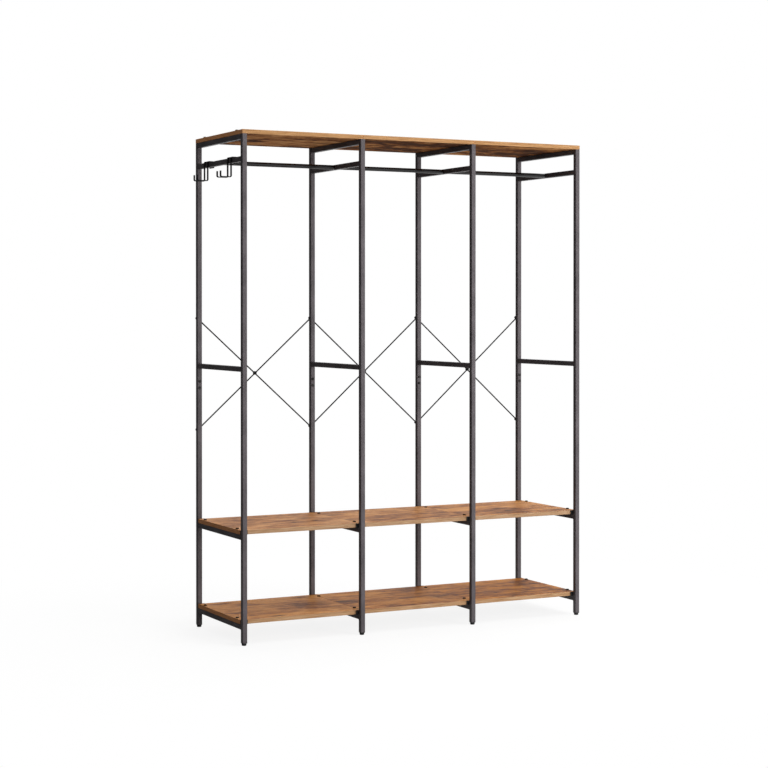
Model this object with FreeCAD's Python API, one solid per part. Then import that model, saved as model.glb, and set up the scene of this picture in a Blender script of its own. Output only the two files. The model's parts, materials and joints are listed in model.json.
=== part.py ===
import FreeCAD, Part
import math
import os

# An open wardrobe of three bays. Four welded side frames stand on levelling feet and carry the top boards,
# two rows of shelf boards and the hanging rails. Crossed rods brace the back.
# Millimetres: +X runs to the right, +Y to the back, +Z up. The origin is on the floor, midway between
# the end frames and midway between the front and rear posts.

# Overall size of the wardrobe
overall_width = 1400.0
overall_depth = 440.0
overall_height = 1800.0

# Side frames from left to right, and the bays between them
frame_names = ("left_end", "left_middle", "right_middle", "right_end")
bay_names = ("left", "middle", "right")

# Square steel tube of the side frames
tube_side = 18.0
tube_wall = 1.2
tube_corner_bevel = 1.6

# Heights above the floor: undersides of the lower cross bars, and the joint between the halves of a post
bottom_bar_height = 54.5
shelf_bar_height = 368.0
post_joint_height = 896.0

# Gap between the joint and the middle bar, and between the rail bar and the top bar
middle_bar_gap = 59.0
rail_bar_gap = 60.0

# Boards
board_thickness = 15.0
board_edge_bevel = 0.8
board_seam = 0.6
board_fit = 0.2

# Blocks that keep the shelf boards clear of the posts
spacer_thickness = 4.0
spacer_side_reach = 9.0

# Screws, drawn with as many sides as their hexagon heads
screw_sides = 6
screw_diameter = 5.0
screw_clearance = 0.1
screw_tip = 4.0
board_screw_head_diameter = 12.0
board_screw_head_height = 4.0
board_screw_inset = 70.0
joint_screw_head_diameter = 10.0
joint_screw_head_height = 4.0
joint_screw_offset = 12.0

# Connectors inside the posts where the halves meet
connector_length = 60.0
connector_wall = 2.0
connector_clearance = 0.1

# Hanging rails and the spigots that they push onto
rail_diameter = 16.0
rail_wall = 1.0
rail_end_gap = 0.3
spigot_sides = 8
spigot_length = 20.0
spigot_clearance = 0.1

# Brace rods behind the rear posts
brace_rod_diameter = 5.0
brace_crossing_gap = 0.8
brace_eye_diameter = 13.0
brace_eye_sides = 8
brace_clip_sides = 8
brace_rise_above_joint = 244.0
brace_drop_below_joint = 168.0
brace_bolt_head_diameter = 11.0
brace_bolt_head_height = 4.5
brace_clip_diameter = 14.0
brace_clip_grip = 1.0
brace_clip_clearance = 0.05

# Levelling feet and their inserts in the posts
foot_height = 8.0
foot_diameter = 17.0
foot_sides = 16
foot_bevel = 2.0
foot_seat_gap = 0.3
foot_stud_diameter = 6.0
foot_stud_length = 24.0
foot_stud_clearance = 0.05
insert_flange_thickness = 1.5
insert_length = 24.0
insert_clearance = 0.1

# Double coat hooks of bent strip, over the rail bar of the left end frame
hook_strip_thickness = 3.5
hook_strip_width = 9.0
hook_width = 40.0
hook_bar_clearance = 0.4
hook_saddle_bend = 4.5
hook_prong_bend = 5.0
hook_inner_drop = 3.0
hook_drop = 51.0
hook_reach = 40.0
hook_prong_height = 22.5
front_hook_place = -108.0
rear_hook_place = 111.0

# Sizes that follow from the ones above
tube_inside = tube_side - 2 * tube_wall
bay_pitch = (overall_width - tube_side) / len(bay_names)
frame_places = [(k - len(bay_names) / 2) * bay_pitch for k in range(len(frame_names))]
back_face = overall_depth / 2
post_place = back_face - tube_side / 2
inner_face = back_face - tube_side
top_board_underside = overall_height - board_thickness
top_bar_height = top_board_underside - tube_side
rail_bar_height = top_bar_height - rail_bar_gap - tube_side
middle_bar_height = post_joint_height + middle_bar_gap
brace_top_height = post_joint_height + brace_rise_above_joint
brace_bottom_height = post_joint_height - brace_drop_below_joint
post_foot_height = foot_height + insert_flange_thickness
shelf_depth = 2 * (inner_face - spacer_thickness - board_fit)
board_screw_place = back_face - board_screw_inset
board_screw_length = board_thickness + tube_wall + screw_tip
joint_screw_length = tube_wall + connector_clearance + connector_wall + screw_tip
brace_eye_thickness = brace_rod_diameter + brace_crossing_gap
brace_bolt_length = 2 * brace_eye_thickness + tube_wall + screw_tip
cut_margin = 1.0

UP = FreeCAD.Vector(0, 0, 1)
RIGHT = FreeCAD.Vector(1, 0, 0)
BACK = FreeCAD.Vector(0, 1, 0)


def point(x, y, z):
    return FreeCAD.Vector(x, y, z)


def placed(shape, place, outward):
    """Turn a shape drawn along +Z so that +Z points outward, and move its origin to place."""
    shape.Placement = FreeCAD.Placement(place, FreeCAD.Rotation(UP, outward))
    return shape


def is_upright(edge):
    return abs(abs(edge.tangentAt(edge.FirstParameter).dot(UP)) - 1) < 1e-6


def square_block(side, height):
    """Upright square block with sharp corners, centred on the Z axis and standing on z = 0."""
    return Part.makeBox(side, side, height, point(-side / 2, -side / 2, 0))


def tube_outside(height):
    """Upright block with the frame tube's outside, centred on the Z axis and standing on z = 0."""
    block = square_block(tube_side, height)
    return block.makeChamfer(tube_corner_bevel, [edge for edge in block.Edges if is_upright(edge)])


def square_tube(length):
    """Frame tube, centred on the Z axis and standing on z = 0."""
    return tube_outside(length).cut(square_block(tube_inside, length))


def prism(sides, diameter, height):
    """Upright prism with its corners on a circle, standing on z = 0."""
    turns = [2 * math.pi * k / sides for k in range(sides + 1)]
    corners = [point(math.cos(turn), math.sin(turn), 0) * (diameter / 2) for turn in turns]
    return Part.Face(Part.makePolygon(corners)).extrude(UP * height)


def screw(place, outward, head_size, length):
    """Screw whose head, of a given diameter and height, stands on a face at place."""
    head = prism(screw_sides, *head_size)
    shank = prism(screw_sides, screw_diameter, length)
    shank.translate(-UP * length)
    return placed(head.fuse(shank), place, outward)


def drilled(shape, place, outward, depth):
    """Cut a screw hole into a face at place, to the given depth."""
    hole = prism(screw_sides, screw_diameter + 2 * screw_clearance, depth + cut_margin)
    return shape.cut(placed(hole, place - outward * depth, outward))


def board_screw_places(frame_place, height):
    return [point(frame_place, y, height) for y in (-board_screw_place, board_screw_place)]


def cross_bar(frame_place, underside):
    """Bar from front to back, its ends shaped to the corners of the posts that they are welded to."""
    length = 2 * (inner_face + tube_corner_bevel)
    bar = placed(square_tube(length), point(frame_place, -length / 2, underside + tube_side / 2), BACK)
    for row in (-1, 1):
        post_core = tube_outside(tube_side)
        post_core.translate(point(frame_place, row * post_place, underside))
        bar = bar.cut(post_core)
    return bar


def board_bar(frame_place, underside):
    """Cross bar with the holes of the board screws in its top."""
    bar = cross_bar(frame_place, underside)
    for place in board_screw_places(frame_place, underside + tube_side):
        bar = drilled(bar, place, UP, 2 * tube_wall)
    return bar


def frame_post(frame_place, row, low, high, joint_step, brace_height):
    """Post of a half frame, with the holes of its joint screw and, on the rear row, its brace bolt.

    The row is -1 for the front post and 1 for the rear one.
    """
    tube = square_tube(high - low)
    tube.translate(point(frame_place, row * post_place, low))
    joint_hole = point(frame_place, row * inner_face, post_joint_height + joint_step)
    tube = drilled(tube, joint_hole, -row * BACK, 2 * tube_wall)
    if row > 0:
        tube = drilled(tube, point(frame_place, back_face, brace_height), BACK, 2 * tube_wall)
    return tube


def rail_spigots(index):
    """Stubs on the sides of a rail bar that face a bay."""
    sides = [side for side in (-1, 1) if 0 <= index + side < len(frame_names)]
    diameter = rail_diameter - 2 * (rail_wall + spigot_clearance)
    spigots = []
    for side in sides:
        foot = point(frame_places[index] + side * tube_side / 2, 0, rail_bar_height + tube_side / 2)
        spigots.append(placed(prism(spigot_sides, diameter, spigot_length), foot, side * RIGHT))
    return spigots


def upper_frame(index):
    x = frame_places[index]
    low = post_joint_height
    high = top_board_underside
    solids = [frame_post(x, row, low, high, joint_screw_offset, brace_top_height) for row in (-1, 1)]
    solids.append(board_bar(x, top_bar_height))
    solids.append(cross_bar(x, rail_bar_height))
    solids.append(cross_bar(x, middle_bar_height))
    return Part.makeCompound(solids + rail_spigots(index))


def lower_frame(index):
    x = frame_places[index]
    low = post_foot_height
    high = post_joint_height
    solids = [frame_post(x, row, low, high, -joint_screw_offset, brace_bottom_height) for row in (-1, 1)]
    solids.append(board_bar(x, shelf_bar_height))
    solids.append(board_bar(x, bottom_bar_height))
    return Part.makeCompound(solids)


def board(bay, underside, depth):
    """Board over one bay. It meets its neighbours over the middle of a bar, round a shared screw."""
    left = frame_places[bay] + board_seam / 2
    right = frame_places[bay + 1] - board_seam / 2
    if bay == 0:
        left = -overall_width / 2
    if bay == len(bay_names) - 1:
        right = overall_width / 2
    plank = Part.makeBox(right - left, depth, board_thickness, point(left, -depth / 2, underside))
    plank = plank.makeChamfer(board_edge_bevel, plank.Edges)
    for frame_place in frame_places[bay : bay + 2]:
        for place in board_screw_places(frame_place, underside + board_thickness):
            plank = drilled(plank, place, UP, board_thickness + cut_margin)
    return plank


def board_screws(underside):
    head_size = (board_screw_head_diameter, board_screw_head_height)
    screws = []
    for frame_place in frame_places:
        for place in board_screw_places(frame_place, underside + board_thickness):
            screws.append(screw(place, UP, head_size, board_screw_length))
    return Part.makeCompound(screws)


def shelf_spacer(left, right, row, bar_top):
    front = inner_face - spacer_thickness
    if row < 0:
        front = -inner_face
    return Part.makeBox(right - left, spacer_thickness, board_thickness, point(left, front, bar_top))


def shelf_spacers(indices):
    """Blocks between the posts and the shelf boards, flush with the outside on the end frames."""
    blocks = []
    for index in indices:
        left = frame_places[index] - tube_side / 2 - spacer_side_reach
        right = frame_places[index] + tube_side / 2 + spacer_side_reach
        for bar_height in (bottom_bar_height, shelf_bar_height):
            for row in (-1, 1):
                blocks.append(
                    shelf_spacer(
                        max(left, -overall_width / 2),
                        min(right, overall_width / 2),
                        row,
                        bar_height + tube_side,
                    )
                )
    return Part.makeCompound(blocks)


def post_connectors():
    """Square sleeves inside the posts, half in the upper and half in the lower frame."""
    outside = tube_inside - 2 * connector_clearance
    inside = outside - 2 * connector_wall
    sleeves = []
    for frame_place in frame_places:
        for row in (-1, 1):
            sleeve = square_block(outside, connector_length).cut(square_block(inside, connector_length))
            sleeve.translate(point(frame_place, row * post_place, post_joint_height - connector_length / 2))
            for step in (-joint_screw_offset, joint_screw_offset):
                place = point(frame_place, row * (post_place - outside / 2), post_joint_height + step)
                sleeve = drilled(sleeve, place, -row * BACK, connector_wall + cut_margin)
            sleeves.append(sleeve)
    return Part.makeCompound(sleeves)


def joint_screws():
    head_size = (joint_screw_head_diameter, joint_screw_head_height)
    screws = []
    for frame_place in frame_places:
        for row in (-1, 1):
            for step in (-joint_screw_offset, joint_screw_offset):
                place = point(frame_place, row * inner_face, post_joint_height + step)
                screws.append(screw(place, -row * BACK, head_size, joint_screw_length))
    return Part.makeCompound(screws)


def hanging_rail(bay):
    left = frame_places[bay] + tube_side / 2 + rail_end_gap
    length = bay_pitch - tube_side - 2 * rail_end_gap
    end = point(left, 0, rail_bar_height + tube_side / 2)
    bore = Part.makeCylinder(rail_diameter / 2 - rail_wall, length, end, RIGHT)
    return Part.makeCylinder(rail_diameter / 2, length, end, RIGHT).cut(bore)


def brace_layer(layer):
    """Middle of the first or second layer of brace rods behind the rear posts."""
    return back_face + (layer + 0.5) * brace_eye_thickness


def brace_eye(frame_place, height, layer):
    """Eye of a brace rod, round its bolt, before the bolt hole is cut."""
    eye = prism(brace_eye_sides, brace_eye_diameter, brace_eye_thickness)
    return placed(eye, point(frame_place, brace_layer(layer) - brace_eye_thickness / 2, height), BACK)


def bolt_hole_cut(shape, frame_place, height):
    depth = 2 * brace_eye_thickness
    return drilled(shape, point(frame_place, back_face + depth, height), BACK, depth + cut_margin)


def brace_ends(bay, rising):
    """Bolt places at the left and right end of a rod that rises or falls to the right."""
    heights = (brace_bottom_height, brace_top_height) if rising else (brace_top_height, brace_bottom_height)
    return [(frame_places[bay + side], heights[side]) for side in (0, 1)]


def brace_axis(bay, rising):
    """Ends of a rod's centre line. Rising rods lie in the first layer, falling ones in the second."""
    layer = 0 if rising else 1
    return [point(x, brace_layer(layer), z) for x, z in brace_ends(bay, rising)]


def rod_along(start, end, diameter):
    return Part.makeCylinder(diameter / 2, (end - start).Length, start, end - start)


def brace(bay, rising):
    start, end = brace_axis(bay, rising)
    rod = rod_along(start, end, brace_rod_diameter)
    for x, z in brace_ends(bay, rising):
        rod = rod.fuse(brace_eye(x, z, 0 if rising else 1))
    for x, z in brace_ends(bay, rising):
        rod = bolt_hole_cut(rod, x, z)
    return rod


def rod_groove(start, end, front, back):
    """Straight groove for a rod between two depths, along the rod's centre line."""
    width = brace_rod_diameter + 2 * brace_clip_clearance
    length = brace_clip_diameter + 2 * cut_margin
    groove = Part.makeBox(width, back - front, length, point(-width / 2, front, -length / 2))
    middle = (start + end) * 0.5
    return placed(groove, point(middle.x, 0, middle.z), end - start)


def brace_clip(bay):
    """Clip that holds both rods where they cross: each lies in a groove open to one side."""
    front = brace_layer(0) - brace_clip_grip
    back = brace_layer(1) + brace_clip_grip
    rod_reach = brace_rod_diameter / 2 + brace_clip_clearance
    rising_start, rising_end = brace_axis(bay, True)
    falling_start, falling_end = brace_axis(bay, False)
    middle = (rising_start + rising_end) * 0.5
    block = prism(brace_clip_sides, brace_clip_diameter, back - front)
    clip = placed(block, point(middle.x, front, middle.z), BACK)
    clip = clip.cut(rod_groove(rising_start, rising_end, front - cut_margin, brace_layer(0) + rod_reach))
    return clip.cut(rod_groove(falling_start, falling_end, brace_layer(1) - rod_reach, back + cut_margin))


def brace_bolts():
    head_size = (brace_bolt_head_diameter, brace_bolt_head_height)
    bolts = []
    for frame_place in frame_places:
        for height in (brace_bottom_height, brace_top_height):
            place = point(frame_place, back_face + 2 * brace_eye_thickness, height)
            bolts.append(screw(place, BACK, head_size, brace_bolt_length))
    return Part.makeCompound(bolts)


def brace_spacers():
    """Rings on the end posts, in the layer where a middle post has its second eye."""
    rings = []
    for frame_place, own_rod_rises in ((frame_places[0], True), (frame_places[-1], False)):
        for height in (brace_bottom_height, brace_top_height):
            rod_rises = own_rod_rises == (height == brace_bottom_height)
            ring = brace_eye(frame_place, height, 1 if rod_rises else 0)
            rings.append(bolt_hole_cut(ring, frame_place, height))
    return Part.makeCompound(rings)


def foot(frame_place, row):
    """Levelling foot: a bevelled pad with a stud that screws into its insert."""
    pad_top = foot_height - foot_seat_gap
    pad = prism(foot_sides, foot_diameter, pad_top)
    pad = pad.makeChamfer(foot_bevel, [edge for edge in pad.Edges if edge.BoundBox.ZMax < foot_bevel])
    stud = prism(screw_sides, foot_stud_diameter, foot_stud_length)
    stud.translate(UP * pad_top)
    glide = pad.fuse(stud)
    glide.translate(point(frame_place, row * post_place, 0))
    return glide


def foot_inserts():
    """Plugs in the lower ends of the posts, each with a flange and a hole for the foot's stud."""
    bore_diameter = foot_stud_diameter + 2 * foot_stud_clearance
    bore_length = insert_flange_thickness + insert_length
    plugs = []
    for frame_place in frame_places:
        for row in (-1, 1):
            plug = square_block(tube_inside - 2 * insert_clearance, insert_length)
            plug.translate(UP * insert_flange_thickness)
            plug = plug.fuse(tube_outside(insert_flange_thickness))
            plug = plug.cut(prism(screw_sides, bore_diameter, bore_length))
            plug.translate(point(frame_place, row * post_place, foot_height))
            plugs.append(plug)
    return Part.makeCompound(plugs)


def strip_side(path, bends, offset):
    """Edges of one side of a strip bent in the XZ plane: straight runs joined by arcs.

    The path is the strip's centre line, bends holds the centre line radius at each inner point,
    and offset is the side's distance to the left of the path.
    """
    runs = [(end - start).normalize() for start, end in zip(path, path[1:])]
    lefts = [run.cross(BACK) for run in runs]
    edges = []
    start = path[0] + lefts[0] * offset
    for k, radius in enumerate(bends):
        corner = path[k + 1]
        half_turn = runs[k].getAngle(runs[k + 1]) / 2
        reach = radius * math.tan(half_turn)
        bisector = (runs[k + 1] - runs[k]).normalize()
        centre = corner + bisector * (radius / math.cos(half_turn))
        arc_start = corner - runs[k] * reach + lefts[k] * offset
        arc_end = corner + runs[k + 1] * reach + lefts[k + 1] * offset
        arc_middle = centre - bisector * (arc_start - centre).Length
        edges.append(Part.makeLine(start, arc_start))
        edges.append(Part.Arc(arc_start, arc_middle, arc_end).toShape())
        start = arc_end
    edges.append(Part.makeLine(start, path[-1] + lefts[-1] * offset))
    return edges


def bent_strip(path, bends, thickness, width):
    """Strip of the given width along Y, bent round the given path."""
    left = strip_side(path, bends, thickness / 2)
    right = strip_side(path, bends, -thickness / 2)
    ends = [Part.makeLine(left[k].Vertexes[k].Point, right[k].Vertexes[k].Point) for k in (0, -1)]
    outline = Part.Wire(Part.__sortEdges__(left + ends + right))
    return Part.Face(outline).extrude(BACK * width)


def coat_hook(place):
    """Double hook: a saddle over the rail bar, with two prongs outside the frame."""
    half = hook_strip_thickness / 2
    outer_leg = -overall_width / 2 - hook_bar_clearance - half
    inner_leg = -overall_width / 2 + tube_side + hook_bar_clearance + half
    prong = outer_leg - hook_reach
    saddle = rail_bar_height + tube_side + hook_bar_clearance + half
    tray = rail_bar_height - hook_drop + half
    path = [
        point(inner_leg, 0, rail_bar_height - hook_inner_drop),
        point(inner_leg, 0, saddle),
        point(outer_leg, 0, saddle),
        point(outer_leg, 0, tray),
        point(prong, 0, tray),
        point(prong, 0, tray - half + hook_prong_height),
    ]
    bends = [hook_saddle_bend, hook_saddle_bend, hook_prong_bend, hook_prong_bend]
    hook = bent_strip(path, bends, hook_strip_thickness, hook_width)
    hook.translate(BACK * (place - hook_width / 2))
    return hook.cut(prong_gap(place, outer_leg, tray, saddle))


def prong_gap(place, outer_leg, tray, saddle):
    """Space between the two prongs, up to the flat of the saddle."""
    width = hook_width - 2 * hook_strip_width
    left = outer_leg - hook_reach - hook_strip_thickness
    right = outer_leg + hook_saddle_bend
    low = tray - hook_strip_thickness
    high = saddle + hook_strip_thickness
    return Part.makeBox(right - left, width, high - low, point(left, place - width / 2, low))


def export(name, shape):
    shape.exportStep("parts/" + name + ".step")


os.makedirs("parts", exist_ok=True)

for frame_index, frame_name in enumerate(frame_names):
    export(frame_name + "_upper_frame", upper_frame(frame_index))
    export(frame_name + "_lower_frame", lower_frame(frame_index))
    export(frame_name + "_front_foot", foot(frame_places[frame_index], -1))
    export(frame_name + "_rear_foot", foot(frame_places[frame_index], 1))

for bay_index, bay_name in enumerate(bay_names):
    export(bay_name + "_top_board", board(bay_index, top_board_underside, overall_depth))
    export(bay_name + "_middle_shelf", board(bay_index, shelf_bar_height + tube_side, shelf_depth))
    export(bay_name + "_bottom_shelf", board(bay_index, bottom_bar_height + tube_side, shelf_depth))
    export(bay_name + "_hanging_rail", hanging_rail(bay_index))
    export(bay_name + "_rising_brace", brace(bay_index, True))
    export(bay_name + "_falling_brace", brace(bay_index, False))

export("top_board_screws", board_screws(top_board_underside))
export("middle_shelf_screws", board_screws(shelf_bar_height + tube_side))
export("bottom_shelf_screws", board_screws(bottom_bar_height + tube_side))
export("end_shelf_spacers", shelf_spacers((0, len(frame_names) - 1)))
export("middle_shelf_spacers", shelf_spacers(range(1, len(frame_names) - 1)))
export("post_connectors", post_connectors())
export("joint_screws", joint_screws())
export("brace_clips", Part.makeCompound([brace_clip(bay_index) for bay_index in range(len(bay_names))]))
export("brace_bolts", brace_bolts())
export("brace_spacers", brace_spacers())
export("foot_inserts", foot_inserts())
export("front_coat_hook", coat_hook(front_hook_place))
export("rear_coat_hook", coat_hook(rear_hook_place))
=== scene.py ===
import json
import math
import random

import bmesh
import bpy
from mathutils import Matrix, Vector


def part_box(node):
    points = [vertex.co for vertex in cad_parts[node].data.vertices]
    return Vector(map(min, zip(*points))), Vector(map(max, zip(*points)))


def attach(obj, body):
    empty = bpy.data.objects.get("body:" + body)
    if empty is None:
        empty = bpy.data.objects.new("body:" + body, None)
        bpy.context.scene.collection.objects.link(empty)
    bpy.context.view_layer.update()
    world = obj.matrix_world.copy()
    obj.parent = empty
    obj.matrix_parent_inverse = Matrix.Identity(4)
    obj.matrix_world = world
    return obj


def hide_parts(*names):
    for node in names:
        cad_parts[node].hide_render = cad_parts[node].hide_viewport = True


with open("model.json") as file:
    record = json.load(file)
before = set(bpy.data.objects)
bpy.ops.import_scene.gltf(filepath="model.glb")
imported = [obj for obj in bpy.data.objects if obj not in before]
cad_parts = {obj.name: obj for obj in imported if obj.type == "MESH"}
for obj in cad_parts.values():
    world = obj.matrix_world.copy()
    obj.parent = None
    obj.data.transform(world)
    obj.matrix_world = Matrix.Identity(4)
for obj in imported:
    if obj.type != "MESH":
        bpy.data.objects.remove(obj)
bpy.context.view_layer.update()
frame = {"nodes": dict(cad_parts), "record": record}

nodes = frame["nodes"]

FRAMES = ("left_end", "left_middle", "right_middle", "right_end")
BAYS = ("left", "middle", "right")
BOARD_KINDS = ("top_board", "middle_shelf", "bottom_shelf")
ROWS = ("front", "rear")
UP = Vector((0, 0, 1))
BACK = Vector((0, 1, 0))
MM = 0.001
WHITE = (1, 1, 1, 1)


def node_centre(name):
    low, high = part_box(name)
    return (low + high) / 2


# Shader helpers

def shader_node(tree, kind, inputs=None, **settings):
    """Add a node, set its settings, and set or link its inputs."""
    made = tree.nodes.new(kind)
    for key, value in settings.items():
        setattr(made, key, value)
    for key, value in (inputs or {}).items():
        if isinstance(value, bpy.types.NodeSocket):
            tree.links.new(value, made.inputs[key])
        else:
            made.inputs[key].default_value = value
    return made


def maths(tree, operation, first, second=0.0):
    return shader_node(tree, "ShaderNodeMath", {0: first, 1: second}, operation=operation).outputs[0]


def vector_maths(tree, operation, first, second=(0, 0, 0)):
    return shader_node(tree, "ShaderNodeVectorMath", {0: first, 1: second}, operation=operation).outputs


def weighted(tree, *parts):
    """Sum of (value, weight) parts."""
    total = None
    for value, weight in parts:
        scaled = maths(tree, "MULTIPLY", value, weight)
        total = scaled if total is None else maths(tree, "ADD", total, scaled)
    return total


def spread(tree, value, low, high, to_low=0.0, to_high=1.0):
    """Map a value from one range to another, held at the ends."""
    inputs = {"Value": value, "From Min": low, "From Max": high, "To Min": to_low, "To Max": to_high}
    return shader_node(tree, "ShaderNodeMapRange", inputs).outputs["Result"]


def mix(tree, factor, first, second):
    """Blend two colours: the factor is the share of the second."""
    inputs = {0: factor, 6: first, 7: second}
    return shader_node(tree, "ShaderNodeMix", inputs, data_type="RGBA").outputs[2]


def axes(tree, vector):
    return shader_node(tree, "ShaderNodeSeparateXYZ", {"Vector": vector}).outputs


def place(tree, scale=(1, 1, 1), offset=(0, 0, 0)):
    """Object coordinates in metres, stretched and moved."""
    coords = shader_node(tree, "ShaderNodeTexCoord").outputs["Object"]
    inputs = {"Vector": coords, "Location": offset, "Scale": scale}
    return shader_node(tree, "ShaderNodeMapping", inputs).outputs[0]


def noise(tree, vector, scale=1.0, detail=2.0, roughness=0.5, distortion=0.0):
    inputs = {"Vector": vector, "Scale": scale, "Detail": detail}
    inputs.update({"Roughness": roughness, "Distortion": distortion})
    return shader_node(tree, "ShaderNodeTexNoise", inputs).outputs[0]


def ramp(tree, factor, stops):
    """Colour ramp through (place, colour) stops."""
    made = shader_node(tree, "ShaderNodeValToRGB", {"Fac": factor})
    elements = made.color_ramp.elements
    while len(elements) < len(stops):
        elements.new(0.5)
    for element, (where, colour) in zip(elements, stops):
        element.position = where
        element.color = (*colour, 1)
    return made.outputs["Color"]


def tone_ramp(tree, tone, colour, darkest, lightest):
    """Ramp from a darker to a lighter tone of one colour."""
    dark = [c * darkest for c in colour]
    light = [c * lightest for c in colour]
    return ramp(tree, tone, ((0.35, dark), (0.65, light)))


def tinted_ramp(tree, tone, stops, amount):
    """Ramp through (place, colour, shift) stops, with each shift taken by an amount."""
    shifted = []
    for where, colour, shift in stops:
        shifted.append((where, [c + s * amount for c, s in zip(colour, shift)]))
    return ramp(tree, tone, shifted)


def bump(tree, height, strength, distance, normal=None):
    inputs = {"Height": height, "Strength": strength, "Distance": distance}
    if normal is not None:
        inputs["Normal"] = normal
    return shader_node(tree, "ShaderNodeBump", inputs).outputs["Normal"]


def rounded_normal(tree, radius):
    """Normals that turn smoothly over the edges."""
    return shader_node(tree, "ShaderNodeBevel", {"Radius": radius}, samples=4).outputs[0]


def edge_mask(tree, rounded, low, high):
    """1 on edges and 0 on flat faces, from the difference between rounded and real normals."""
    real = shader_node(tree, "ShaderNodeNewGeometry").outputs["Normal"]
    dot = vector_maths(tree, "DOT_PRODUCT", rounded, real)["Value"]
    return spread(tree, dot, high, low)


def new_material(name):
    material = bpy.data.materials.new(name)
    material.use_nodes = True
    tree = material.node_tree
    return material, tree, tree.nodes["Principled BSDF"]


def set_shader(tree, shader, links, **constants):
    for key, value in constants.items():
        shader.inputs[key.replace("_", " ")].default_value = value
    for key, socket in links.items():
        tree.links.new(socket, shader.inputs[key])


# Materials

# Widths of the rubbed edges, in metres
COAT_EDGE = 0.0016
PLASTIC_EDGE = 0.001
WOOD_EDGE = 0.0015

# A face belongs to a direction when its normal's share of it is larger than this
FACING = 0.6

PLASTIC_SCUFF = (0.09, 0.09, 0.09, 1)
WOOD_RUBBED = (0.62, 0.44, 0.28, 1)
WOOD_KNOT = (0.045, 0.021, 0.010, 1)
WOOD_STREAK = (0.11, 0.042, 0.015, 1)
WOOD_PORE = (0.10, 0.048, 0.022, 1)
WOOD_SAW_MARK = (0.60, 0.40, 0.23, 1)

# Ramp stops of the boards: tone, colour, and the colour's shift for each unit of warmth
FACE_STOPS = (
    (0.41, (0.062, 0.020, 0.007), (0, 0, 0)),
    (0.45, (0.180, 0.064, 0.020), (0, 0, 0)),
    (0.49, (0.385, 0.156, 0.052), (0, -0.010, -0.012)),
    (0.535, (0.565, 0.264, 0.101), (0, -0.018, -0.028)),
    (0.59, (0.720, 0.386, 0.175), (0, -0.030, -0.045)),
)
EDGE_STOPS = (
    (0.3, (0.205, 0.108, 0.050), (0.015, -0.005, -0.010)),
    (0.5, (0.345, 0.208, 0.115), (0.030, -0.010, -0.032)),
    (0.7, (0.460, 0.313, 0.200), (0.035, -0.015, -0.053)),
)
# On the ends the shift lightens as well as warms: painted light, strongest on the top boards' ends
END_STOPS = (
    (0.3, (0.27, 0.108, 0.040), (0.14, 0.05, 0.015)),
    (0.5, (0.44, 0.190, 0.078), (0.20, 0.09, 0.030)),
    (0.7, (0.54, 0.265, 0.120), (0.20, 0.11, 0.040)),
)


def coated_metal(name, colour, worn, roughness, grain, specular, soft_edges=False):
    """Powder coat or enamel: uneven tone, fine orange peel, and paler rubbed edges."""
    material, tree, shader = new_material(name)
    flat = place(tree)
    cloud = noise(tree, flat, scale=9.0, detail=4.0, roughness=0.6)
    speck = noise(tree, flat, scale=420.0, detail=2.0, roughness=0.6)
    rubbing = noise(tree, flat, scale=55.0, detail=5.0, roughness=0.65)
    uneven = noise(tree, flat, scale=26.0, detail=4.0, roughness=0.6)
    peel = noise(tree, flat, scale=grain, detail=3.0, roughness=0.55)

    rounded = rounded_normal(tree, COAT_EDGE)
    edges = edge_mask(tree, rounded, 0.80, 0.985)
    wear = maths(tree, "MULTIPLY", edges, spread(tree, rubbing, 0.48, 0.66))
    coat = tone_ramp(tree, weighted(tree, (cloud, 0.7), (speck, 0.3)), colour, 0.72, 1.35)
    base = mix(tree, maths(tree, "MULTIPLY", wear, 0.55), coat, (*worn, 1))
    rough = spread(tree, uneven, 0.3, 0.7, roughness - 0.07, roughness + 0.07)
    rough = maths(tree, "SUBTRACT", rough, maths(tree, "MULTIPLY", wear, 0.12))
    surface = bump(tree, peel, 0.22, 0.0003, rounded if soft_edges else None)
    links = {"Base Color": base, "Roughness": rough, "Normal": surface}
    set_shader(tree, shader, links, Specular_IOR_Level=specular)
    return material


def moulded_plastic(name, colour):
    """Matte moulded plastic with a spark-eroded grain and scuffed edges."""
    material, tree, shader = new_material(name)
    flat = place(tree)
    tone = noise(tree, flat, scale=40.0, detail=4.0, roughness=0.6)
    rubbing = noise(tree, flat, scale=160.0, detail=4.0, roughness=0.7)
    uneven = noise(tree, flat, scale=300.0)
    grain = noise(tree, flat, scale=1500.0, detail=2.0, roughness=0.6)

    edges = edge_mask(tree, rounded_normal(tree, PLASTIC_EDGE), 0.8, 0.98)
    scuff = maths(tree, "MULTIPLY", edges, rubbing)
    base = tone_ramp(tree, tone, colour, 0.75, 1.4)
    base = mix(tree, maths(tree, "MULTIPLY", scuff, 0.6), base, PLASTIC_SCUFF)
    rough = spread(tree, uneven, 0.3, 0.7, 0.55, 0.72)
    links = {"Base Color": base, "Roughness": rough, "Normal": bump(tree, grain, 0.25, 0.0002)}
    set_shader(tree, shader, links, Specular_IOR_Level=0.4)
    return material


def bare_steel(name):
    """Drawn steel with fine lengthwise lines."""
    material, tree, shader = new_material(name)
    lines = noise(tree, place(tree, (900, 900, 12)), detail=3.0, roughness=0.6)
    base = ramp(tree, lines, ((0.3, (0.32, 0.32, 0.33)), (0.7, (0.52, 0.52, 0.53))))
    rough = spread(tree, lines, 0.3, 0.7, 0.28, 0.46)
    links = {"Base Color": base, "Roughness": rough, "Normal": bump(tree, lines, 0.2, 0.0001)}
    set_shader(tree, shader, links, Metallic=1.0)
    return material


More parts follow.
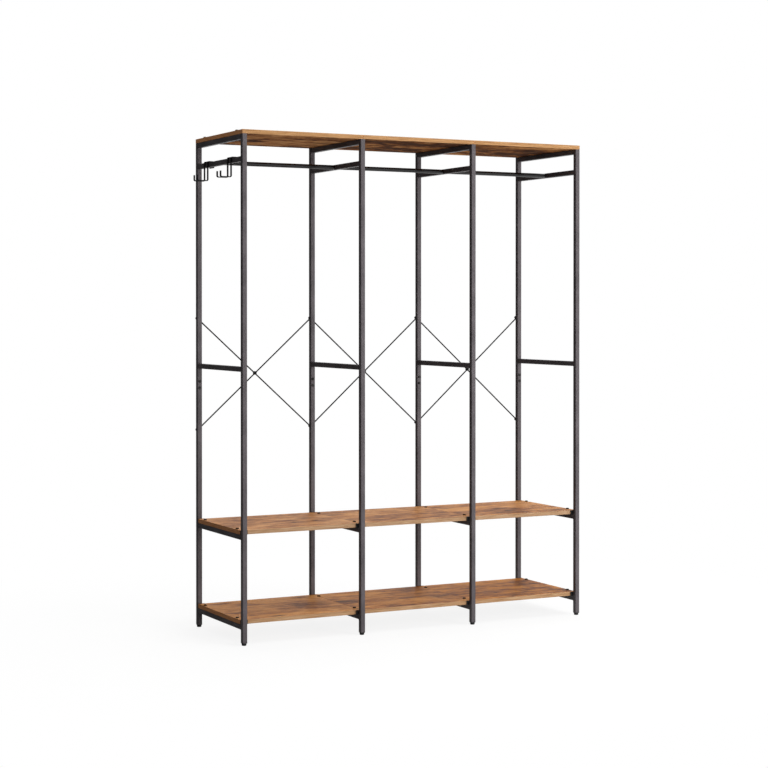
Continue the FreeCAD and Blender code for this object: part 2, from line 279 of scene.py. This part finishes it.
def rustic_wood(name, offset, warmth, edge_warmth_and_painted_end_light, lightness_and_painted_light):
    """Brown board with grain along X, dark patches and knots, and other tones on its edges and ends."""
    material, tree, shader = new_material(name)
    straight = place(tree, offset=offset)
    flow = noise(tree, place(tree, (2.0, 5.0, 5.0), offset), detail=3.0)
    bend = shader_node(tree, "ShaderNodeCombineXYZ", {"Y": maths(tree, "MULTIPLY", flow, 0.05)}).outputs[0]
    bent = vector_maths(tree, "ADD", straight, bend)[0]

    def along(stretch):
        return vector_maths(tree, "MULTIPLY", bent, stretch)[0]

    def grain(stretch, detail, roughness=0.5, distortion=0.0):
        return noise(tree, along(stretch), 1.0, detail, roughness, distortion)

    broad = grain((2.4, 7.0, 7.0), 3.0)
    bands = grain((5.0, 42.0, 42.0), 6.0, 0.62)
    streaks = grain((9.0, 210.0, 210.0), 4.0, 0.6)
    pores = grain((38.0, 1300.0, 1300.0), 3.0, 0.6)
    patches = grain((7.0, 15.0, 15.0), 5.0, 0.62, 0.8)
    mottle = grain((20.0, 26.0, 26.0), 5.0, 0.66, 0.4)
    saw = grain((160.0, 7.0, 7.0), 2.0)
    edge_tone = grain((14.0, 260.0, 520.0), 5.0, 0.65)
    end_tone = grain((260.0, 14.0, 520.0), 5.0, 0.65)

    # Only a few of the cells have a knot
    cell_inputs = {"Vector": along((5.0, 11.0, 11.0)), "Scale": 1.0}
    cells = shader_node(tree, "ShaderNodeTexVoronoi", cell_inputs, voronoi_dimensions="3D").outputs
    chance = shader_node(tree, "ShaderNodeSeparateColor", {"Color": cells["Color"]}).outputs[0]
    chosen = maths(tree, "GREATER_THAN", chance, 0.72)
    knots = maths(tree, "MULTIPLY", spread(tree, cells["Distance"], 0.06, 0.24, 1.0, 0.0), chosen)

    # The pattern is stronger on the underside, and a little darker there: painted shade
    normal = axes(tree, shader_node(tree, "ShaderNodeNewGeometry").outputs["True Normal"])
    underside = maths(tree, "LESS_THAN", normal["Z"], -FACING)
    tone = weighted(tree, (broad, 0.22), (patches, 0.22), (mottle, 0.20), (bands, 0.26), (streaks, 0.10))
    tone = maths(tree, "ADD", tone, lightness_and_painted_light)
    contrast_and_painted_shade = spread(tree, tone, 0.3, 0.7, -0.16, 0.12)
    tone = maths(tree, "ADD", tone, maths(tree, "MULTIPLY", underside, contrast_and_painted_shade))
    face = tinted_ramp(tree, tone, FACE_STOPS, warmth)
    details = (
        (knots, 0.8, WOOD_KNOT),
        (spread(tree, streaks, 0.53, 0.66), 0.32, WOOD_STREAK),
        (spread(tree, pores, 0.56, 0.74), 0.45, WOOD_PORE),
        (spread(tree, saw, 0.55, 0.75), 0.16, WOOD_SAW_MARK),
    )
    for mask, strength, colour in details:
        face = mix(tree, maths(tree, "MULTIPLY", mask, strength), face, colour)

    edge = tinted_ramp(tree, edge_tone, EDGE_STOPS, edge_warmth_and_painted_end_light)
    end = tinted_ramp(tree, end_tone, END_STOPS, edge_warmth_and_painted_end_light)
    long_edge = maths(tree, "GREATER_THAN", maths(tree, "ABSOLUTE", normal["Y"]), FACING)
    board_end = maths(tree, "GREATER_THAN", maths(tree, "ABSOLUTE", normal["X"]), FACING)
    base = mix(tree, board_end, mix(tree, long_edge, face, edge), end)
    rubbed = edge_mask(tree, rounded_normal(tree, WOOD_EDGE), 0.8, 0.98)
    rubbing = noise(tree, straight, scale=60.0, detail=4.0, roughness=0.7)
    corners = maths(tree, "MULTIPLY", rubbed, rubbing)
    base = mix(tree, maths(tree, "MULTIPLY", corners, 0.5), base, WOOD_RUBBED)

    # The lacquer is duller on the underside
    rough = spread(tree, streaks, 0.3, 0.7, 0.58, 0.46)
    rough = maths(tree, "MAXIMUM", rough, maths(tree, "MULTIPLY", underside, 0.95))
    relief = weighted(tree, (streaks, 0.6), (pores, 0.4))
    links = {"Base Color": base, "Roughness": rough, "Normal": bump(tree, relief, 0.3, 0.0004)}
    set_shader(tree, shader, links, Specular_IOR_Level=0.08)
    return material


frame_coat = coated_metal(
    "frame_coat", colour=(0.074, 0.0645, 0.0695), worn=(0.14, 0.124, 0.132),
    roughness=0.46, grain=760.0, specular=0.36, soft_edges=True,
)
rail_enamel = coated_metal(
    "rail_enamel", colour=(0.004, 0.0037, 0.004), worn=(0.10, 0.095, 0.09),
    roughness=0.17, grain=500.0, specular=0.5,
)
brace_coat = coated_metal(
    "brace_coat", colour=(0.005, 0.0047, 0.005), worn=(0.06, 0.055, 0.05),
    roughness=0.42, grain=900.0, specular=0.14,
)
hook_coat = coated_metal(
    "hook_coat", colour=(0.005, 0.0047, 0.005), worn=(0.06, 0.055, 0.05),
    roughness=0.40, grain=800.0, specular=0.16,
)
fastener_coat = coated_metal(
    "fastener_coat", colour=(0.018, 0.0165, 0.016), worn=(0.20, 0.18, 0.16),
    roughness=0.44, grain=1200.0, specular=0.5,
)
screw_black = coated_metal(
    "screw_black", colour=(0.007, 0.0065, 0.006), worn=(0.08, 0.07, 0.06),
    roughness=0.55, grain=1200.0, specular=0.12,
)
black_plastic = moulded_plastic("black_plastic", (0.013, 0.013, 0.0135))
drawn_steel = bare_steel("drawn_steel")

SLOT_MATERIALS = {
    "frame_black": frame_coat,
    "rail_black": rail_enamel,
    "brace_black": brace_coat,
    "fastener_dark": fastener_coat,
    "plastic_black": black_plastic,
    "connector_steel": drawn_steel,
    "hook_black": hook_coat,
}


# Carried-over CAD nodes: materials, and soft edges from modifiers

# Bevel widths in metres. The tubes have modelled corners, so their coat rounds the edges in its shading alone
SLOT_BEVEL = {
    "rail_black": 0.0003,
    "brace_black": 0.0003,
    "fastener_dark": 0.0003,
    "plastic_black": 0.0005,
    "connector_steel": 0.0003,
    "hook_black": 0.0007,
}
BOARD_BEVEL = 0.0004
BEVEL_SEGMENTS = 2
BEVEL_ANGLE = math.radians(28)
JOIN_DISTANCE = 0.00002


def dress(obj, material, bevel=None):
    """Give a CAD node its material and smooth shading, and with a bevel, rounded edges from modifiers."""
    obj.data.materials.clear()
    obj.data.materials.append(material)
    if "custom_normal" in obj.data.attributes:
        obj.data.attributes.remove(obj.data.attributes["custom_normal"])
    for polygon in obj.data.polygons:
        polygon.use_smooth = True
    if bevel is None:
        return
    weld = obj.modifiers.new("join_faces", "WELD")
    weld.merge_threshold = JOIN_DISTANCE
    round_edges = obj.modifiers.new("round_edges", "BEVEL")
    round_edges.width = bevel
    round_edges.segments = BEVEL_SEGMENTS
    round_edges.limit_method = "ANGLE"
    round_edges.angle_limit = BEVEL_ANGLE
    round_edges.use_clamp_overlap = True
    shade = obj.modifiers.new("shade_flats", "WEIGHTED_NORMAL")
    shade.keep_sharp = True


for entry in frame["record"]["subparts"]:
    slot = entry["material_slot"]
    if slot in SLOT_MATERIALS:
        dress(nodes[entry["node"]], SLOT_MATERIALS[slot], SLOT_BEVEL.get(slot))

bay_warmth = {"left": 0.2, "middle": 0.5, "right": 1.0}
row_warmth = {"top_board": 0.0, "middle_shelf": 0.2, "bottom_shelf": 1.4}
# Warmth of the long edges, which on the ends is also painted light
edge_warmth_and_painted_end_light = {"top_board": 1.0, "middle_shelf": 0.0, "bottom_shelf": 0.3}
# Tone of each board, partly painted light and shade: bottom shelves lightened, top boards' undersides
# darkened
board_tone_and_painted_light = {
    "top_board": (-0.002, -0.016, -0.018),
    "middle_shelf": (0.004, -0.009, 0.016),
    "bottom_shelf": (0.029, 0.014, 0.003),
}

# Each board shows another part of the wood's pattern
for bay_index, bay in enumerate(BAYS):
    for row_index, kind in enumerate(BOARD_KINDS):
        board = bay + "_" + kind
        offset = (3.1 * bay_index + 0.7, 1.7 * row_index + 0.7 * bay_index, 0.37 * row_index)
        warmth = bay_warmth[bay] + row_warmth[kind]
        lightness_and_painted_light = board_tone_and_painted_light[kind][bay_index]
        wood = rustic_wood(board + "_wood", offset, warmth, edge_warmth_and_painted_end_light[kind], lightness_and_painted_light)
        dress(nodes[board], wood, BOARD_BEVEL)


# New pieces

SHARP_ANGLE = math.radians(35)


def new_piece(name, mesh_maker, material, body, replaced=()):
    """Make a mesh piece in the shared frame and let it ride on a body."""
    shape = bmesh.new()
    mesh_maker(shape)
    bmesh.ops.recalc_face_normals(shape, faces=shape.faces)
    mesh = bpy.data.meshes.new(name)
    shape.to_mesh(mesh)
    shape.free()
    for polygon in mesh.polygons:
        polygon.use_smooth = True
    mesh.set_sharp_from_angle(angle=SHARP_ANGLE)
    mesh.materials.append(material)
    obj = bpy.data.objects.new(name, mesh)
    bpy.context.scene.collection.objects.link(obj)
    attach(obj, body)
    if replaced:
        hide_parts(*replaced)


def ring_radius(kind, radius, turn):
    """Distance of a ring's point from its axis: round, or on a hexagon with that corner radius."""
    if kind == "round":
        return radius
    sector = math.pi / 3
    return radius * math.cos(sector / 2) / math.cos((turn % sector) - sector / 2)


def add_turned(shape, profile, origin, outward, sides=24):
    """Turned solid from (kind, radius, height) rings, closed at both ends, with +Z along outward."""
    to_place = Matrix.Translation(origin) @ UP.rotation_difference(outward).to_matrix().to_4x4()
    rings = []
    for kind, radius, height in profile:
        ring = []
        for k in range(sides):
            turn = 2 * math.pi * k / sides
            reach = ring_radius(kind, radius, turn) * MM
            point = Vector((reach * math.cos(turn), reach * math.sin(turn), height * MM))
            ring.append(shape.verts.new(to_place @ point))
        rings.append(ring)
    for low, high in zip(rings, rings[1:]):
        for k in range(sides):
            shape.faces.new((low[k], low[(k + 1) % sides], high[(k + 1) % sides], high[k]))
    shape.faces.new(rings[0][::-1])
    shape.faces.new(rings[-1])


# Rings of the screws and bolts, in millimetres: the shank, the head, and its socket or shallow recess
BOARD_SCREW = (
    ("round", 1.6, -20.4), ("round", 2.15, -19.0), ("round", 2.15, 0.0), ("round", 5.85, 0.0),
    ("round", 6.0, 0.3), ("round", 6.0, 1.9), ("round", 5.8, 2.7), ("round", 5.2, 3.4),
    ("round", 4.3, 3.85), ("round", 3.2, 4.0), ("hex", 2.65, 4.0), ("hex", 2.5, 3.8), ("hex", 2.5, 1.6),
)
JOINT_SCREW = (
    ("round", 1.6, -7.2), ("round", 2.15, -6.4), ("round", 2.15, 0.0), ("round", 4.8, 0.0),
    ("round", 5.0, 0.2), ("round", 5.0, 3.2), ("round", 4.85, 3.65), ("round", 4.5, 3.9),
    ("round", 4.0, 4.0), ("round", 3.0, 4.0), ("hex", 2.75, 4.0), ("hex", 2.5, 3.8), ("hex", 2.5, 1.6),
)
BRACE_BOLT = (
    ("round", 1.6, -14.6), ("round", 2.15, -13.8), ("round", 2.15, 0.0), ("round", 5.3, 0.0),
    ("round", 5.4, 0.25), ("round", 5.4, 0.8), ("round", 4.9, 0.9), ("hex", 5.2, 1.0), ("hex", 5.2, 3.9),
    ("round", 4.4, 4.5), ("round", 3.6, 4.5), ("round", 3.3, 4.25),
)
BRACE_BOLT_HEAD = 4.5

# Corner radii of the CAD nodes' six-sided heads, in millimetres
BOARD_SCREW_CORNER = 6.0
JOINT_SCREW_CORNER = 5.0
BRACE_BOLT_CORNER = 5.5


def hexagon_flat(corner_radius):
    """Distance in metres from the middle of a CAD hexagon to its flats."""
    return corner_radius * MM * math.cos(math.pi / 6)


# Where the side frames stand, and where their posts have their back and inner faces
frame_places = [node_centre(name + "_lower_frame").x for name in FRAMES]
lower_frame_low, lower_frame_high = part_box("left_end_lower_frame")
back_face = lower_frame_high.y
tube_side = 2 * (frame_places[0] - lower_frame_low.x)
inner_face = back_face - tube_side


def screws_on_boards(kind):
    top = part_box("middle_" + kind)[1].z
    low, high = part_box(kind + "_screws")
    row = (high.y - low.y) / 2 - hexagon_flat(BOARD_SCREW_CORNER)

    def make(shape):
        for x in frame_places:
            for y in (-row, row):
                add_turned(shape, BOARD_SCREW, Vector((x, y, top)), UP)

    return make


for kind in BOARD_KINDS:
    new_piece(
        kind + "_screw_heads", screws_on_boards(kind),
        screw_black, "wardrobe", (kind + "_screws",),
    )


def joint_screw_heads(shape):
    joint = lower_frame_high.z
    low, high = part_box("joint_screws")
    step = (high.z - low.z) / 2 - hexagon_flat(JOINT_SCREW_CORNER)
    for x in frame_places:
        for row in (-1, 1):
            for z in (joint - step, joint + step):
                add_turned(shape, JOINT_SCREW, Vector((x, row * inner_face, z)), -row * BACK)


new_piece(
    "joint_screw_heads", joint_screw_heads,
    fastener_coat, "wardrobe", ("joint_screws",),
)


def brace_bolt_heads(shape):
    low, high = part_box("brace_bolts")
    reach = hexagon_flat(BRACE_BOLT_CORNER)
    seat = high.y - BRACE_BOLT_HEAD * MM
    for x in frame_places:
        for z in (low.z + reach, high.z - reach):
            add_turned(shape, BRACE_BOLT, Vector((x, seat, z)), BACK)


new_piece(
    "brace_bolt_heads", brace_bolt_heads,
    fastener_coat, "wardrobe", ("brace_bolts",),
)


# Radius and height of the rings of a foot's pad, in millimetres
FOOT_PAD = (
    (5.9, 0.25), (6.1, 0.0), (6.5, 0.0), (7.5, 0.55), (8.2, 1.45), (8.5, 2.6), (8.5, 6.6),
    (8.3, 7.3), (7.8, 7.7), (3.2, 7.7),
)
FOOT_SIDES = 40
THREAD_TURNS = 23
THREAD_ROOT = (2.55, 7.8)
THREAD_CREST = (2.85, 8.3)
STUD_TIP = (2.0, 31.4)


def foot_profile():
    """Pad with a rounded edge, and a threaded stud with 1 mm between its turns."""
    rings = list(FOOT_PAD)
    for k in range(THREAD_TURNS):
        rings.append((THREAD_ROOT[0], THREAD_ROOT[1] + k))
        rings.append((THREAD_CREST[0], THREAD_CREST[1] + k))
    rings.append(STUD_TIP)
    return [("round", radius, height) for radius, height in rings]


def foot_pad(foot):
    centre = node_centre(foot)
    on_floor = Vector((centre.x, centre.y, 0))

    def make(shape):
        add_turned(shape, foot_profile(), on_floor, UP, FOOT_SIDES)

    return make


for name in FRAMES:
    for row in ROWS:
        foot = name + "_" + row + "_foot"
        new_piece(foot + "_pad", foot_pad(foot), black_plastic, foot, (foot,))


BEAD_RADIUS = 1.1 * MM
BEAD_STEP = 2.2 * MM
BEAD_SIDES = 6
TUBE_CORNER = 1.6 * MM


def add_bead(shape, corners, rng):
    """Weld bead: a lumpy closed ring through the corner points."""
    points = []
    for k, corner in enumerate(corners):
        following = corners[(k + 1) % len(corners)]
        steps = max(2, round((following - corner).length / BEAD_STEP))
        points += [corner.lerp(following, s / steps) for s in range(steps)]
    centre = sum(points, Vector()) / len(points)
    rings = []
    for k, at in enumerate(points):
        outward = (at - centre).normalized()
        ripple = 0.18 * math.sin(k * 2.1)
        unevenness = 0.12 * (rng.random() - 0.5)
        size = BEAD_RADIUS * (1 + ripple + unevenness)
        ring = []
        for s in range(BEAD_SIDES):
            turn = 2 * math.pi * s / BEAD_SIDES
            offset = outward * (size * math.cos(turn)) + BACK * (size * math.sin(turn))
            ring.append(shape.verts.new(at + offset))
        rings.append(ring)
    for k, ring in enumerate(rings):
        following = rings[(k + 1) % len(rings)]
        for s in range(BEAD_SIDES):
            after = (s + 1) % BEAD_SIDES
            shape.faces.new((ring[s], ring[after], following[after], following[s]))


# No node's box gives the height of the middle bar's underside
MIDDLE_BAR = 0.955
rail_bar = node_centre("left_hanging_rail").z - tube_side / 2
BAR_UNDERSIDES = {
    "upper": (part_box("left_top_board")[0].z - tube_side, rail_bar, MIDDLE_BAR),
    "lower": (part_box("left_middle_shelf")[0].z - tube_side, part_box("left_bottom_shelf")[0].z - tube_side),
}


def frame_welds(x, undersides, seed):
    """Beads around both ends of each bar of a frame half."""
    half = tube_side / 2
    short = half - TUBE_CORNER
    outline = (
        (half, short), (half, -short), (short, -half), (-short, -half),
        (-half, -short), (-half, short), (-short, half), (short, half),
    )

    def make(shape):
        rng = random.Random(seed)
        for underside in undersides:
            middle = underside + half
            for row in (-1, 1):
                corners = [Vector((x + a, row * inner_face, middle + b)) for a, b in outline]
                add_bead(shape, corners, rng)

    return make


for frame_index, name in enumerate(FRAMES):
    for half_index, (half_name, undersides) in enumerate(BAR_UNDERSIDES.items()):
        seed = 10 * frame_index + half_index
        new_piece(
            name + "_" + half_name + "_welds", frame_welds(frame_places[frame_index], undersides, seed),
            frame_coat, "wardrobe",
        )


# Floor, light and camera

FLOOR_REACH = 14.0
FLOOR_GREY = (0.38, 0.38, 0.38, 1)


def ray_kinds(tree):
    """Camera rays, and glossy or transmission rays."""
    rays = shader_node(tree, "ShaderNodeLightPath").outputs
    return rays["Is Camera Ray"], maths(tree, "MAXIMUM", rays["Is Glossy Ray"], rays["Is Transmission Ray"])


def make_floor():
    """White where it is seen or mirrored, with the object's shadow, and grey for the light it throws back."""
    r = FLOOR_REACH
    mesh = bpy.data.meshes.new("floor")
    mesh.from_pydata([(-r, -r, 0), (r, -r, 0), (r, r, 0), (-r, r, 0)], [], [(0, 1, 2, 3)])
    floor = bpy.data.objects.new("floor", mesh)
    bpy.context.scene.collection.objects.link(floor)
    material, tree, shader = new_material("floor_white")
    camera_ray, shiny = ray_kinds(tree)
    seen = maths(tree, "MAXIMUM", camera_ray, shiny)
    links = {"Base Color": mix(tree, seen, FLOOR_GREY, WHITE)}
    set_shader(tree, shader, links, Roughness=0.9, Specular_IOR_Level=0.0)

    # Dim on the left in reflections
    mirrored = spread(tree, axes(tree, place(tree))["X"], -0.6, 1.3, 0.06, 1.0)
    level = maths(tree, "MAXIMUM", mirrored, camera_ray)
    white = shader_node(tree, "ShaderNodeEmission", {"Color": WHITE, "Strength": level}).outputs[0]
    away = vector_maths(tree, "LENGTH", place(tree))["Value"]
    share = maths(tree, "MULTIPLY", seen, spread(tree, away, 0.7, 1.9, 0.86, 1.0))
    both = shader_node(tree, "ShaderNodeMixShader", {0: share, 1: shader.outputs[0], 2: white}).outputs[0]
    tree.links.new(both, tree.nodes["Material Output"].inputs["Surface"])
    mesh.materials.append(material)


def make_world():
    """White for the camera, and for the rest a studio that is pale on the right and dim on the left."""
    world = bpy.data.worlds.new("studio")
    bpy.context.scene.world = world
    world.use_nodes = True
    tree = world.node_tree
    across = axes(tree, shader_node(tree, "ShaderNodeTexCoord").outputs["Generated"])["X"]
    camera_ray, shiny = ray_kinds(tree)
    mirrored = spread(tree, across, -0.25, 0.30, 0.03, 1.0)
    ambient = spread(tree, across, -0.8, 0.6, 0.13, 0.53)
    inputs = {0: shiny, 2: ambient, 3: mirrored}
    lit = shader_node(tree, "ShaderNodeMix", inputs, data_type="FLOAT").outputs[0]
    background = tree.nodes["Background"]
    background.inputs["Color"].default_value = WHITE
    tree.links.new(maths(tree, "MAXIMUM", lit, camera_ray), background.inputs["Strength"])


def add_light(name, location, target, size, power):
    """Area lamp that is hidden from reflections, so that grazing faces don't flash white."""
    data = bpy.data.lights.new(name, "AREA")
    data.shape = "RECTANGLE"
    data.size, data.size_y = size
    data.energy = power
    lamp = bpy.data.objects.new(name, data)
    lamp.location = location
    lamp.visible_glossy = False
    lamp.rotation_euler = (Vector(target) - Vector(location)).to_track_quat("-Z", "Y").to_euler()
    bpy.context.scene.collection.objects.link(lamp)


def make_camera():
    """Camera fitted to the posts, bars and boards of the photograph."""
    focal_pixels, picture = 1812.16, 768.0
    yaw, pitch, centre_row = -0.4796, -0.0082, 323.0
    eye = Vector((-3.17062, -6.03669, 1.17734))
    sensor = 36.0
    forward = Vector((-math.sin(yaw) * math.cos(pitch), math.cos(yaw) * math.cos(pitch), math.sin(pitch)))
    right = Vector((math.cos(yaw), math.sin(yaw), 0))
    up = right.cross(forward)
    data = bpy.data.cameras.new("camera")
    data.sensor_width = sensor
    data.lens = sensor * focal_pixels / picture
    data.shift_y = (centre_row - picture / 2) / picture
    data.clip_start, data.clip_end = 0.1, 100.0
    camera = bpy.data.objects.new("camera", data)
    turn = Matrix((right, up, -forward)).transposed().to_4x4()
    camera.matrix_world = Matrix.Translation(eye) @ turn
    bpy.context.scene.collection.objects.link(camera)
    bpy.context.scene.camera = camera


make_floor()
make_world()
add_light("key", location=(2.7, -5.0, 1.75), target=(0.0, 0.0, 0.9), size=(3.4, 3.0), power=256.0)
add_light("low_fill", location=(1.9, -5.0, 0.7), target=(0.1, 0.0, 0.3), size=(2.6, 1.2), power=90.0)
add_light("top", location=(0.4, -0.6, 4.6), target=(0.0, 0.0, 0.9), size=(4.0, 3.0), power=105.0)
add_light("back_fill", location=(2.4, 4.2, 2.6), target=(0.0, 0.0, 0.6), size=(3.0, 3.0), power=125.0)
make_camera()
bpy.context.scene.view_settings.view_transform = "Standard"
